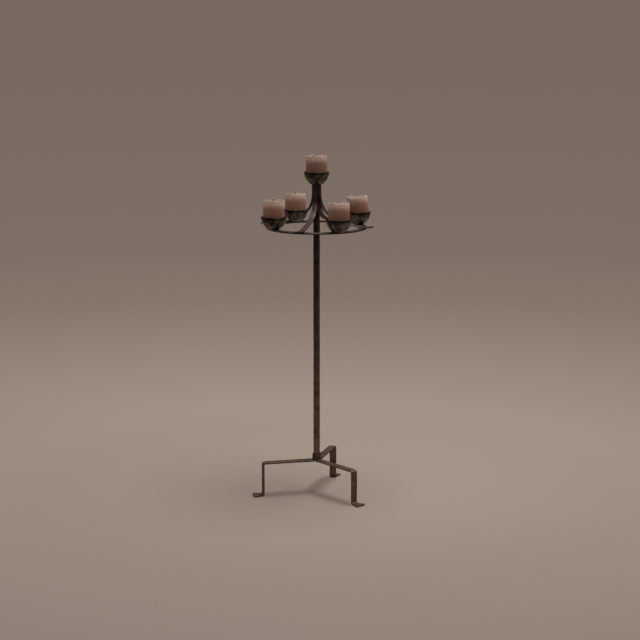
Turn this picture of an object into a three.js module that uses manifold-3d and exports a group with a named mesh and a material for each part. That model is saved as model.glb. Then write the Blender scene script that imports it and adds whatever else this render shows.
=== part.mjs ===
// Floor-standing candle stand of forged flat bar: a square column on three bent legs,
// a flat ring carried by four flared arms, and five hammered bowls that each hold a
// pillar candle on a pricket. Millimetres, +Z up. The column axis is the construction
// axis; the finished stand is moved so that the middle of its footprint is the origin.

import * as THREE from 'three';
import { mergeVertices } from 'three/addons/utils/BufferGeometryUtils.js';
import Module from 'manifold-3d';

const wasm = await Module();
wasm.setup();

// ---- Driving dimensions -------------------------------------------------------------

const WELD_GAP = 0.3; // between pieces that touch or are welded together
const CANDLE_GAP = 0.3; // between a candle and the bowl or spike that holds it

// Column: one length of square bar
const COLUMN_SIDE = 15;
const COLUMN_TOP = 888.5; // height of its top end above the floor

// Tripod: three legs of flat bar round a square collar
const LEG_WIDTH = 20;
const LEG_THICKNESS = 5;
const LEG_TOP = 99; // upper face of the legs
const LEG_REACH = 156; // column axis to the middle of the upright stretch
const LEG_BEND = 7; // centreline radius of both bends
const FOOT_LENGTH = 29; // from the middle of the upright stretch to the tip
const FOOT_TIP_WIDTH = 31; // each foot is spread by the hammer towards its tip
const LEG_SIDES = ['rear', 'left', 'right']; // evenly round the column, from the rear one
const REAR_AZIMUTH = 90;

const COLLAR_WALL = 2.3;
const COLLAR_RISE = 18; // above the legs' upper face

// Ring: flat band lying level
const RING_RADIUS = 140; // outer edge
const RING_BAND = 16;
const RING_THICKNESS = 5;
const RING_TOP = 770.5;
const RING_EDGE = 0.8; // worn chamfer of the band's corners

// Arms: flat bar down the column's faces, flared out over the ring
const ARM_WIDTH = 15;
const ARM_THICKNESS = 4;
const ARM_TIP_WIDTH = 22; // the end is spread by the hammer
const ARM_WELD = 20; // length that lies flat on the column
const ARM_HUG = 62; // how steeply the flare leaves the column
const ARM_SWEEP = 88; // how flat the flare runs in to the ring
const ARM_LIFT = 16; // how far it still falls over that flat run
const ARM_TIP_REACH = 30; // from the ring's middle line to the arm's end
const ARM_TIP_RISE = 2; // upturn of that end
const ARM_SIDES = ['rear', 'left', 'front', 'right']; // one on each face of the column

// Bowls: hammered sheet, one on the column and four on the ring
const BOWL_HEIGHT = 34.5;
const BOWL_BASE_RADIUS = 18.3;
const BOWL_RIM_RADIUS = 35.3;
const BOWL_WALL = 1.6;
const BOWL_FULLNESS = 2.3; // exponent of the wall's curve: 1 is a cone
const RING_BOWLS = ['back_left', 'front_left', 'front_right', 'back_right']; // between the arms

// Prickets: a spike on a small round foot, standing in the bowl
const SPIKE_LENGTH = 36;
const SPIKE_RADIUS = 3;
const SPIKE_TIP_RADIUS = 0.6;
const SPIKE_FOOT_RADIUS = 7;
const SPIKE_FOOT_HEIGHT = 2;

// Candles
const CANDLE_RADIUS = 29.7;
const CANDLE_HEIGHT = 63;
const CANDLE_EDGE = 1.6; // rounding of its bottom edge
const CANDLE_SHOULDER = 3.2; // rounding of its top edge, softened by burning
const CANDLE_DISH = 2.5; // depth of the shallow pool round the wick
const LEANING_CANDLE = 'back_right';
const CANDLE_LEAN = 7; // degrees, towards the column

const WICK_RADIUS = 1.1;
const WICK_LENGTH = 5; // above the wax
const WICK_ROOT = 6; // below it
const WICK_BEND = 1.2; // sideways droop of its end

// Facets
const BOWL_SIDES = 32;
const BOWL_STEPS = 6;
const RING_SIDES = 72;
const CANDLE_SIDES = 32;
const SPIKE_SIDES = 12;
const WICK_SIDES = 6;
const WICK_HOLE_SIDES = 12;
const WICK_STEPS = 6;
const BEND_STEPS = 6;
const FLARE_STEPS = 20;
const TIP_STEPS = 4;
const EDGE_STEPS = 3;
const POOL_STEPS = 3;

// Working margins
const CUT_MARGIN = 1; // how far a cutting shape runs past what it cuts
const SEAT_TOLERANCE = 0.001;
const MERGE_TOLERANCE = 1e-4;

// ---- Materials ----------------------------------------------------------------------

const material = (color, roughness, metalness) => (
  new THREE.MeshStandardMaterial({ color, roughness, metalness })
);
const forgedIron = () => material(0x3a302b, 0.55, 0.8);
const hammeredIron = () => material(0x2a2624, 0.45, 0.85);
const spikeIron = () => material(0x4a4440, 0.5, 0.8);
const wax = () => material(0x8a6650, 0.5, 0);
const cotton = () => material(0x5a3a2c, 0.95, 0);

// ---- Helpers ------------------------------------------------------------------------

const radians = THREE.MathUtils.degToRad;

function makeMesh(name, geometry, material) {
  const mesh = new THREE.Mesh(geometry, material);
  mesh.name = name;
  return mesh;
}

function toSolid(geometry) {
  const bare = geometry.clone();
  bare.deleteAttribute('normal');
  bare.deleteAttribute('uv');
  const merged = mergeVertices(bare, MERGE_TOLERANCE);
  return new wasm.Manifold(new wasm.Mesh({
    numProp: 3,
    vertProperties: new Float32Array(merged.attributes.position.array),
    triVerts: new Uint32Array(merged.index.array),
  }));
}

function toGeometry(solid) {
  const mesh = solid.getMesh();
  const geometry = new THREE.BufferGeometry();
  geometry.setAttribute('position', new THREE.BufferAttribute(new Float32Array(mesh.vertProperties), 3));
  geometry.setIndex(new THREE.BufferAttribute(new Uint32Array(mesh.triVerts), 1));
  return geometry;
}

// A solid of revolution about Z from (radius, height) points listed upwards on the outside.
function revolve(points, sides) {
  const geometry = new THREE.LatheGeometry(points.map(([r, z]) => new THREE.Vector2(r, z)), sides);
  return geometry.rotateX(Math.PI / 2);
}

// A bar of rectangular section lofted through stations that lie in the XZ plane. Each
// station gives the centre (x, z), the direction of travel and the section's two sizes.
function loftBar(stations) {
  const positions = [];
  const index = [];
  for (const { x, z, angle, width, thickness } of stations) {
    const nx = -Math.sin(angle) * thickness / 2;
    const nz = Math.cos(angle) * thickness / 2;
    positions.push(x - nx, -width / 2, z - nz);
    positions.push(x - nx, width / 2, z - nz);
    positions.push(x + nx, width / 2, z + nz);
    positions.push(x + nx, -width / 2, z + nz);
  }
  const corners = [0, 1, 2, 3];
  for (let s = 0; s < stations.length - 1; s += 1) {
    for (const c of corners) {
      const a = 4 * s + c;
      const b = 4 * s + (c + 1) % 4;
      index.push(a, b, a + 4, b, b + 4, a + 4);
    }
  }
  const last = 4 * (stations.length - 1);
  index.push(0, 2, 1, 0, 3, 2);
  index.push(last, last + 1, last + 2, last, last + 2, last + 3);
  const geometry = new THREE.BufferGeometry();
  geometry.setAttribute('position', new THREE.Float32BufferAttribute(positions, 3));
  geometry.setIndex(index);
  return geometry;
}

// Points of a circular bend that turns the travel from one angle to another.
function bendStations(centre, radius, fromAngle, toAngle, section) {
  const side = Math.sign(toAngle - fromAngle);
  return Array.from({ length: BEND_STEPS + 1 }, (_, i) => {
    const angle = fromAngle + (toAngle - fromAngle) * i / BEND_STEPS;
    return {
      x: centre[0] + side * radius * Math.sin(angle),
      z: centre[1] - side * radius * Math.cos(angle),
      angle,
      ...section,
    };
  });
}

function prism(shape, bottom, top) {
  const geometry = new THREE.ExtrudeGeometry(shape, { depth: top - bottom, bevelEnabled: false });
  return geometry.translate(0, 0, bottom);
}

function squareShape(side) {
  const h = side / 2;
  return new THREE.Shape([[-h, -h], [h, -h], [h, h], [-h, h]].map(([x, y]) => new THREE.Vector2(x, y)));
}

// ---- Column and tripod --------------------------------------------------------------

const legUnderside = LEG_TOP - LEG_THICKNESS;
const collarSide = COLUMN_SIDE + 2 * (WELD_GAP + COLLAR_WALL);

function makeColumn() {
  return prism(squareShape(COLUMN_SIDE), legUnderside, COLUMN_TOP);
}

function makeCollar() {
  const section = squareShape(collarSide);
  section.holes.push(squareShape(COLUMN_SIDE + 2 * WELD_GAP));
  return prism(section, legUnderside, LEG_TOP + COLLAR_RISE);
}

// One leg along +X: level bar, upright stretch and spread foot, with its inner end
// mitred against the other two legs and cut to the collar turned to that leg's side.
function makeLeg(azimuth) {
  const section = { width: LEG_WIDTH, thickness: LEG_THICKNESS };
  const topLine = LEG_TOP - LEG_THICKNESS / 2;
  const footLine = LEG_THICKNESS / 2;
  const down = -Math.PI / 2;
  const blank = loftBar([
    { x: 0, z: topLine, angle: 0, ...section },
    ...bendStations([LEG_REACH - LEG_BEND, topLine - LEG_BEND], LEG_BEND, 0, down, section),
    ...bendStations([LEG_REACH + LEG_BEND, footLine + LEG_BEND], LEG_BEND, down, 0, section),
    { x: LEG_REACH + FOOT_LENGTH, z: footLine, angle: 0, ...section, width: FOOT_TIP_WIDTH },
  ]);
  const mitre = toSolid(makeMitreWedge());
  const collar = prism(
    squareShape(collarSide + 2 * WELD_GAP),
    legUnderside - CUT_MARGIN,
    LEG_TOP + CUT_MARGIN,
  ).rotateZ(-radians(azimuth));
  return toGeometry(toSolid(blank).intersect(mitre).subtract(toSolid(collar)));
}

// The third of a turn that belongs to one leg, half a weld gap inside each border.
function makeMitreWedge() {
  const half = Math.PI / LEG_SIDES.length;
  const apex = WELD_GAP / 2 / Math.sin(half);
  const reach = 2 * (LEG_REACH + FOOT_LENGTH);
  const wedge = new THREE.Shape([
    new THREE.Vector2(apex, 0),
    new THREE.Vector2(apex + reach * Math.cos(half), -reach * Math.sin(half)),
    new THREE.Vector2(reach, 0),
    new THREE.Vector2(apex + reach * Math.cos(half), reach * Math.sin(half)),
  ]);
  return prism(wedge, -CUT_MARGIN, LEG_TOP + CUT_MARGIN);
}

// ---- Ring and arms ------------------------------------------------------------------

const ringMiddle = RING_RADIUS - RING_BAND / 2;

function makeRing() {
  const inner = RING_RADIUS - RING_BAND;
  const bottom = RING_TOP - RING_THICKNESS;
  const e = RING_EDGE;
  const section = [
    [inner + e, bottom], [RING_RADIUS - e, bottom], [RING_RADIUS, bottom + e], [RING_RADIUS, RING_TOP - e],
    [RING_RADIUS - e, RING_TOP], [inner + e, RING_TOP], [inner, RING_TOP - e], [inner, bottom + e],
    [inner + e, bottom],
  ];
  return revolve(section, RING_SIDES);
}

// Stations along a curve in the XZ plane, past its start, with the bar's width changing
// evenly from one end to the other.
function curveStations(curve, steps, startWidth, endWidth) {
  return Array.from({ length: steps }, (_, i) => {
    const t = (i + 1) / steps;
    const point = curve.getPoint(t);
    const width = THREE.MathUtils.lerp(startWidth, endWidth, t);
    return { x: point.x, z: point.y, angle: curve.getTangent(t).angle(), width, thickness: ARM_THICKNESS };
  });
}

// One arm along +X: flat on the column, a trumpet-like flare down to the ring, and an
// upturned end beyond it.
function makeArm() {
  const onColumn = COLUMN_SIDE / 2 + WELD_GAP + ARM_THICKNESS / 2;
  const onRing = RING_TOP + WELD_GAP + ARM_THICKNESS / 2;
  const flareTop = COLUMN_TOP - ARM_WELD;
  const flare = new THREE.CubicBezierCurve(
    new THREE.Vector2(onColumn, flareTop),
    new THREE.Vector2(onColumn, flareTop - ARM_HUG),
    new THREE.Vector2(ringMiddle - ARM_SWEEP, onRing + ARM_LIFT),
    new THREE.Vector2(ringMiddle, onRing),
  );
  const tip = new THREE.QuadraticBezierCurve(
    new THREE.Vector2(ringMiddle, onRing),
    new THREE.Vector2(ringMiddle + ARM_TIP_REACH / 2, onRing),
    new THREE.Vector2(ringMiddle + ARM_TIP_REACH, onRing + ARM_TIP_RISE),
  );
  const section = { width: ARM_WIDTH, thickness: ARM_THICKNESS };
  const down = -Math.PI / 2;
  return loftBar([
    { x: onColumn, z: COLUMN_TOP, angle: down, ...section },
    { x: onColumn, z: flareTop, angle: down, ...section },
    ...curveStations(flare, FLARE_STEPS, ARM_WIDTH, ARM_WIDTH),
    ...curveStations(tip, TIP_STEPS, ARM_WIDTH, ARM_TIP_WIDTH),
  ]);
}

// ---- Bowls, prickets, candles -------------------------------------------------------

// Radius of the bowl's wall at a height; inset 0 is the outside, BOWL_WALL the inside.
function bowlRadius(z, inset) {
  const rest = Math.max(0, 1 - (z - inset) / (BOWL_HEIGHT - inset));
  const spread = BOWL_RIM_RADIUS - BOWL_BASE_RADIUS;
  return BOWL_BASE_RADIUS - inset + spread * (1 - rest ** BOWL_FULLNESS);
}

// Where a candle with a given lean comes to rest in its bowl: the low and the high side
// of its bottom edge both meet the wall, so a leaning candle sits higher and further out.
function candleSeat(lean) {
  const across = CANDLE_RADIUS * Math.cos(lean) + CANDLE_GAP;
  const tilt = CANDLE_RADIUS * Math.sin(lean);
  const wallAt = (z) => bowlRadius(z, BOWL_WALL);
  let low = BOWL_WALL;
  let height = BOWL_HEIGHT;
  while (height - low > SEAT_TOLERANCE) {
    const middle = (low + height) / 2;
    if (wallAt(middle - tilt) + wallAt(middle + tilt) < 2 * across) low = middle;
    else height = middle;
  }
  return { height, shift: (wallAt(height + tilt) - wallAt(height - tilt)) / 2 };
}

function makeBowl() {
  const outside = [];
  const inside = [];
  for (let i = 0; i <= BOWL_STEPS; i += 1) {
    const outer = BOWL_HEIGHT * i / BOWL_STEPS;
    const inner = BOWL_WALL + (BOWL_HEIGHT - BOWL_WALL) * i / BOWL_STEPS;
    outside.push([bowlRadius(outer, 0), outer]);
    inside.unshift([bowlRadius(inner, BOWL_WALL), inner]);
  }
  return revolve([[0, 0], ...outside, ...inside, [0, BOWL_WALL]], BOWL_SIDES);
}

function makeSpike() {
  const seat = BOWL_WALL + WELD_GAP;
  const shoulder = seat + SPIKE_FOOT_HEIGHT;
  return revolve([
    [0, seat], [SPIKE_FOOT_RADIUS, seat], [SPIKE_FOOT_RADIUS, shoulder],
    [SPIKE_RADIUS, shoulder], [SPIKE_TIP_RADIUS, seat + SPIKE_LENGTH], [0, seat + SPIKE_LENGTH],
  ], SPIKE_SIDES);
}

// The hole that a candle has round its spike: the spike's cone, a gap larger all round.
function makeSpikeHole() {
  const shoulder = BOWL_WALL + WELD_GAP + SPIKE_FOOT_HEIGHT;
  const top = BOWL_WALL + WELD_GAP + SPIKE_LENGTH + CANDLE_GAP;
  return revolve([
    [0, shoulder], [SPIKE_RADIUS + CANDLE_GAP, shoulder], [SPIKE_TIP_RADIUS + CANDLE_GAP, top], [0, top],
  ], SPIKE_SIDES);
}

// Quarter-round points of a candle's edge about the height of the rounding's centre.
function roundedEdge(rounding, centreHeight, fromDegrees, toDegrees) {
  return Array.from({ length: EDGE_STEPS + 1 }, (_, i) => {
    const a = radians(fromDegrees + (toDegrees - fromDegrees) * i / EDGE_STEPS);
    return [CANDLE_RADIUS - rounding + rounding * Math.cos(a), centreHeight + rounding * Math.sin(a)];
  });
}

function makeCandleBody() {
  const poolRadius = CANDLE_RADIUS - CANDLE_SHOULDER;
  const pool = Array.from({ length: POOL_STEPS }, (_, i) => {
    const share = 1 - (i + 1) / POOL_STEPS;
    return [poolRadius * share, CANDLE_HEIGHT - CANDLE_DISH * (1 - share ** 2)];
  });
  return revolve([
    [0, 0],
    ...roundedEdge(CANDLE_EDGE, CANDLE_EDGE, -90, 0),
    ...roundedEdge(CANDLE_SHOULDER, CANDLE_HEIGHT - CANDLE_SHOULDER, 0, 90),
    ...pool,
  ], CANDLE_SIDES);
}

// The wick stands straight out of the pool and droops sideways towards its end.
function makeWick() {
  const surface = CANDLE_HEIGHT - CANDLE_DISH;
  const foot = new THREE.Vector3(0, 0, surface);
  const path = new THREE.CurvePath();
  path.add(new THREE.LineCurve3(new THREE.Vector3(0, 0, surface - WICK_ROOT), foot));
  path.add(new THREE.QuadraticBezierCurve3(
    foot,
    new THREE.Vector3(0, 0, surface + WICK_LENGTH / 2),
    new THREE.Vector3(WICK_BEND, 0, surface + WICK_LENGTH),
  ));
  const section = new THREE.Shape().absarc(0, 0, WICK_RADIUS, 0, 2 * Math.PI);
  return new THREE.ExtrudeGeometry(section, {
    steps: WICK_STEPS, curveSegments: WICK_SIDES, extrudePath: path, bevelEnabled: false,
  });
}

function makeWickHole() {
  const surface = CANDLE_HEIGHT - CANDLE_DISH;
  const bottom = surface - WICK_ROOT - CANDLE_GAP;
  const radius = WICK_RADIUS + CANDLE_GAP;
  return revolve([
    [0, bottom], [radius, bottom], [radius, CANDLE_HEIGHT], [0, CANDLE_HEIGHT],
  ], WICK_HOLE_SIDES);
}

// A candle in its bowl's frame, +X away from the column: the body is set at its lean, and
// the hole for the upright spike is cut through it.
function makeCandle(lean) {
  const seat = candleSeat(lean);
  const body = toSolid(makeCandleBody()).subtract(toSolid(makeWickHole()));
  const geometry = toGeometry(body).rotateY(-lean).translate(seat.shift, 0, seat.height);
  return toGeometry(toSolid(geometry).subtract(toSolid(makeSpikeHole())));
}

// ---- Assembly -----------------------------------------------------------------------

// A bowl with its pricket, candle and wick, at a place round the column.
function makeHolder(name, azimuth, radius, height) {
  const lean = name === LEANING_CANDLE ? radians(CANDLE_LEAN) : 0;
  const seat = candleSeat(lean);
  const wick = makeWick().rotateY(-lean).translate(seat.shift, 0, seat.height);
  const holder = new THREE.Group();
  holder.add(
    makeMesh(`bowl_${name}`, makeBowl(), hammeredIron()),
    makeMesh(`pricket_${name}`, makeSpike(), spikeIron()),
    makeMesh(`candle_${name}`, makeCandle(lean), wax()),
    makeMesh(`wick_${name}`, wick, cotton()),
  );
  holder.rotation.z = radians(azimuth);
  holder.position.set(radius * Math.cos(holder.rotation.z), radius * Math.sin(holder.rotation.z), height);
  return holder;
}

function turned(mesh, azimuth) {
  mesh.rotation.z = radians(azimuth);
  return mesh;
}

// Each side's name with its azimuth, spread evenly over a full turn.
function evenly(sides, firstAzimuth) {
  return sides.map((side, i) => [side, firstAzimuth + 360 * i / sides.length]);
}

const stand = new THREE.Group();
stand.add(makeMesh('column', makeColumn(), forgedIron()));
stand.add(makeMesh('base_collar', makeCollar(), forgedIron()));
for (const [side, azimuth] of evenly(LEG_SIDES, REAR_AZIMUTH)) {
  stand.add(turned(makeMesh(`leg_${side}`, makeLeg(azimuth), forgedIron()), azimuth));
}
stand.add(makeMesh('ring', makeRing(), forgedIron()));
for (const [side, azimuth] of evenly(ARM_SIDES, REAR_AZIMUTH)) {
  stand.add(turned(makeMesh(`arm_${side}`, makeArm(), forgedIron()), azimuth));
}
stand.add(makeHolder('top', 0, 0, COLUMN_TOP + WELD_GAP));
for (const [side, azimuth] of evenly(RING_BOWLS, REAR_AZIMUTH + 180 / ARM_SIDES.length)) {
  stand.add(makeHolder(side, azimuth, ringMiddle, RING_TOP + WELD_GAP));
}

// The finished stand is moved so that the middle of its footprint is the origin.
const extent = new THREE.Box3().setFromObject(stand);
const middle = extent.getCenter(new THREE.Vector3());
stand.position.set(-middle.x, -middle.y, -extent.min.z);

export default stand;
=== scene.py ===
import math
import bpy
import bmesh
from mathutils import Matrix, Vector


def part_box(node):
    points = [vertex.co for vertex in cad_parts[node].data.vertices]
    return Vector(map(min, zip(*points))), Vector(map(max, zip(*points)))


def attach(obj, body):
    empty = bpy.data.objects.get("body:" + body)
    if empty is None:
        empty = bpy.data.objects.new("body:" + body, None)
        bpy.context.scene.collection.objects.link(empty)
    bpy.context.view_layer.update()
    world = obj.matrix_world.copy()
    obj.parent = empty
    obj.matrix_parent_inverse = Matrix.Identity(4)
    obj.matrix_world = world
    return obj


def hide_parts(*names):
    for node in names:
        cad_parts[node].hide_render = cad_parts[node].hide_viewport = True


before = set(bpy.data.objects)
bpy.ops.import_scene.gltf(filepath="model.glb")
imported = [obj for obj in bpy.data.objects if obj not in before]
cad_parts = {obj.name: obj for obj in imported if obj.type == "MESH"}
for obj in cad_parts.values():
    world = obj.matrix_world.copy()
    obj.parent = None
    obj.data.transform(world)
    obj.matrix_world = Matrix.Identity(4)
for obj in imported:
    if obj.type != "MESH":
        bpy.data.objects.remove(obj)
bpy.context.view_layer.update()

print("frame loaded:", len(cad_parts), "parts")

mm = 0.001
columnLow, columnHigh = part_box("column")
axis = Vector(((columnLow.x + columnHigh.x) / 2, (columnLow.y + columnHigh.y) / 2, 0))
scene = bpy.context.scene

# camera: on a level with the bowls' rims and above, a little to the right, through a long lens
camera = {"distance": 4.3187, "height": 1.3372, "azimuth": 18.0, "pitch": 10.91, "aside": 0.126, "lens": 87.77}
lensData = bpy.data.cameras.new("camera")
lensData.lens = camera["lens"]
lensData.sensor_width = 36
lensData.clip_end = 60
cameraObject = bpy.data.objects.new("camera", lensData)
scene.collection.objects.link(cameraObject)
swing = math.radians(camera["azimuth"])
cameraObject.location = axis + Vector((
    camera["distance"] * math.sin(swing), -camera["distance"] * math.cos(swing), camera["height"]))
cameraObject.rotation_euler = (
    math.radians(90 - camera["pitch"]), 0, math.radians(camera["azimuth"] - camera["aside"]))
scene.camera = cameraObject
scene.view_settings.view_transform = "Standard"
print("camera placed")


# nodes and colours

def linearColour(code):
    channels = [int(code[i:i + 2], 16) / 255 for i in (1, 3, 5)]
    return [c / 12.92 if c <= 0.04045 else ((c + 0.055) / 1.055) ** 2.4 for c in channels] + [1.0]


def perMetre(sizeInMm):  # a pattern's scale from the real size of its features
    return 1000 / sizeInMm


def addNode(tree, kind, settings=None, **links):
    # a socket is named by its place, such as in0, or by its name without spaces, and takes
    # a value, another socket or another node's first output; a ramp takes stops
    node = tree.nodes.new(kind)
    for key, value in (settings or {}).items():
        if key != "stops":
            setattr(node, key, value)
            continue
        for i, (place, colour) in enumerate(value):
            stop = node.color_ramp.elements[i] if i < 2 else node.color_ramp.elements.new(place)
            stop.position, stop.color = place, linearColour(colour)
    named = {socket.name.replace(" ", ""): socket for socket in reversed(node.inputs) if socket.enabled}
    for key, value in links.items():
        socket = node.inputs[int(key[2:])] if key[2:].isdigit() else named[key]
        if isinstance(value, bpy.types.Node):
            value = next(output for output in value.outputs if output.enabled)
        if isinstance(value, bpy.types.NodeSocket):
            tree.links.new(value, socket)
        else:
            socket.default_value = value
    return node


def newMaterial(name):
    material = bpy.data.materials.new(name)
    material.use_nodes = True
    tree = material.node_tree
    where = addNode(tree, "ShaderNodeTexCoord").outputs["Object"]
    return material, tree, tree.nodes["Principled BSDF"], where


# node trees for what follows a path or a rule

socketKinds = {"float": "NodeSocketFloat", "whole": "NodeSocketInt", "vector": "NodeSocketVector",
               "material": "NodeSocketMaterial", "object": "NodeSocketObject"}


def newTree(name, inputs):
    tree = bpy.data.node_groups.new(name, "GeometryNodeTree")
    tree.interface.new_socket("Geometry", in_out="INPUT", socket_type="NodeSocketGeometry")
    for label, kind in inputs.items():
        tree.interface.new_socket(label, in_out="INPUT", socket_type=socketKinds[kind])
    tree.interface.new_socket("Geometry", in_out="OUTPUT", socket_type="NodeSocketGeometry")
    return tree, addNode(tree, "NodeGroupInput").outputs


def endTree(tree, geometry, material):
    whole = addNode(tree, "GeometryNodeRealizeInstances", in0=geometry)
    smooth = addNode(tree, "GeometryNodeSetShadeSmooth", in0=whole, ShadeSmooth=True)
    painted = addNode(tree, "GeometryNodeSetMaterial", in0=smooth, Material=material)
    addNode(tree, "NodeGroupOutput", in0=painted)


def hammered(tree, geometry, where, size, depth):
    # each blow leaves a shallow round hollow, and the hollows meet in ridges
    pitch = addNode(tree, "ShaderNodeMath", {"operation": "DIVIDE"}, in0=1.0, in1=size)
    cell = addNode(tree, "ShaderNodeTexVoronoi", {"feature": "F1"}, Vector=where, Scale=pitch, Randomness=0.85)
    square = addNode(tree, "ShaderNodeMath", {"operation": "POWER"}, in0=cell, in1=2.0)
    ridge = addNode(tree, "ShaderNodeMapRange", Value=square, FromMin=0.0, FromMax=0.5)
    geometry = addNode(tree, "GeometryNodeStoreNamedAttribute", in0=geometry, Name="ridge", Value=ridge)
    hollow = addNode(tree, "ShaderNodeMath", {"operation": "SUBTRACT"}, in0=ridge, in1=1.0)
    return geometry, addNode(tree, "ShaderNodeMath", {"operation": "MULTIPLY"}, in0=hollow, in1=depth)


def forgedBarTree():
    tree, given = newTree("forgedBar", {
        "Section": "object", "Half Width": "float", "Half Thickness": "float", "Side": "vector", "Step": "float",
        "Tip Length": "float", "Tip Spread": "float", "Dent Size": "float", "Dent Depth": "float",
        "Sway": "float", "Seed": "float", "Material": "material"})
    path = addNode(tree, "GeometryNodeResampleCurve", {"mode": "LENGTH"}, in0=given["Geometry"], Length=given["Step"])
    path = addNode(tree, "GeometryNodeSetCurveNormal", {"mode": "FREE"}, in0=path, Normal=given["Side"])
    along = addNode(tree, "GeometryNodeSplineParameter").outputs["Length"]
    whole = addNode(tree, "GeometryNodeSplineLength").outputs["Length"]
    left = addNode(tree, "ShaderNodeMath", {"operation": "SUBTRACT"}, in0=whole, in1=along)
    tip = addNode(tree, "ShaderNodeMapRange", Value=left, FromMin=0.0, FromMax=given["Tip Length"], ToMin=1.0, ToMax=0.0)
    path = addNode(tree, "GeometryNodeStoreNamedAttribute", in0=path, Name="tipShare", Value=tip)

    # how near a point of the section is to a corner, for the worn edges
    section = addNode(tree, "GeometryNodeObjectInfo", in0=given["Section"]).outputs["Geometry"]
    here = addNode(tree, "GeometryNodeInputPosition")
    parts = addNode(tree, "ShaderNodeSeparateXYZ", in0=addNode(
        tree, "ShaderNodeVectorMath", {"operation": "ABSOLUTE"}, in0=here)).outputs
    fromSide = addNode(tree, "ShaderNodeMath", {"operation": "SUBTRACT"}, in0=given["Half Width"], in1=parts[0])
    fromFace = addNode(tree, "ShaderNodeMath", {"operation": "SUBTRACT"}, in0=given["Half Thickness"], in1=parts[1])
    farther = addNode(tree, "ShaderNodeMath", {"operation": "MAXIMUM"}, in0=fromSide, in1=fromFace)
    wear = addNode(tree, "ShaderNodeMapRange", Value=farther, FromMin=0.3 * mm, FromMax=1.5 * mm, ToMin=1.0, ToMax=0.0)
    section = addNode(tree, "GeometryNodeStoreNamedAttribute", in0=section, Name="wornEdge", Value=wear)
    bar = addNode(tree, "GeometryNodeCurveToMesh", Curve=path, ProfileCurve=section, FillCaps=True)

    # the end is spread sideways by the hammer
    sideways = addNode(tree, "ShaderNodeVectorMath", {"operation": "DOT_PRODUCT"}, in0=here, in1=given["Side"])
    share = addNode(tree, "GeometryNodeInputNamedAttribute", Name="tipShare")
    grow = addNode(tree, "ShaderNodeMath", {"operation": "MULTIPLY"}, in0=share, in1=given["Tip Spread"])
    grow = addNode(tree, "ShaderNodeMath", {"operation": "MULTIPLY"}, in0=grow, in1=sideways.outputs["Value"])
    push = addNode(tree, "ShaderNodeVectorMath", {"operation": "SCALE"}, in0=given["Side"], in3=grow)
    bar = addNode(tree, "GeometryNodeSetPosition", in0=bar, Offset=push)

    # shallow hammer dents over the surface, and a slow sway of the whole bar
    seedPlace = addNode(tree, "ShaderNodeCombineXYZ", in0=given["Seed"], in1=given["Seed"])
    where = addNode(tree, "ShaderNodeVectorMath", {"operation": "ADD"}, in0=here, in1=seedPlace)
    bar, dent = hammered(tree, bar, where, given["Dent Size"], given["Dent Depth"])
    facing = addNode(tree, "GeometryNodeInputNormal")
    push = addNode(tree, "ShaderNodeVectorMath", {"operation": "SCALE"}, in0=facing, in3=dent)
    bar = addNode(tree, "GeometryNodeSetPosition", in0=bar, Offset=push)
    slow = addNode(tree, "ShaderNodeTexNoise", Vector=where, Scale=perMetre(160), Detail=1.0).outputs["Color"]
    slow = addNode(tree, "ShaderNodeVectorMath", {"operation": "SUBTRACT"}, in0=slow, in1=(0.5, 0.5, 0.5))
    slow = addNode(tree, "ShaderNodeVectorMath", {"operation": "MULTIPLY"}, in0=slow, in1=(2.0, 2.0, 0.4))
    push = addNode(tree, "ShaderNodeVectorMath", {"operation": "SCALE"}, in0=slow, in3=given["Sway"])
    bar = addNode(tree, "GeometryNodeSetPosition", in0=bar, Offset=push)

    # how much each spot faces up, for the painted light and shade by facing
    level = addNode(tree, "ShaderNodeSeparateXYZ", in0=facing).outputs[2]
    upward = addNode(tree, "ShaderNodeMapRange", Value=level, FromMin=0.3, FromMax=0.95)
    bar = addNode(tree, "GeometryNodeStoreNamedAttribute", in0=bar, Name="upward", Value=upward)
    endTree(tree, bar, given["Material"])
    return tree


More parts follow.
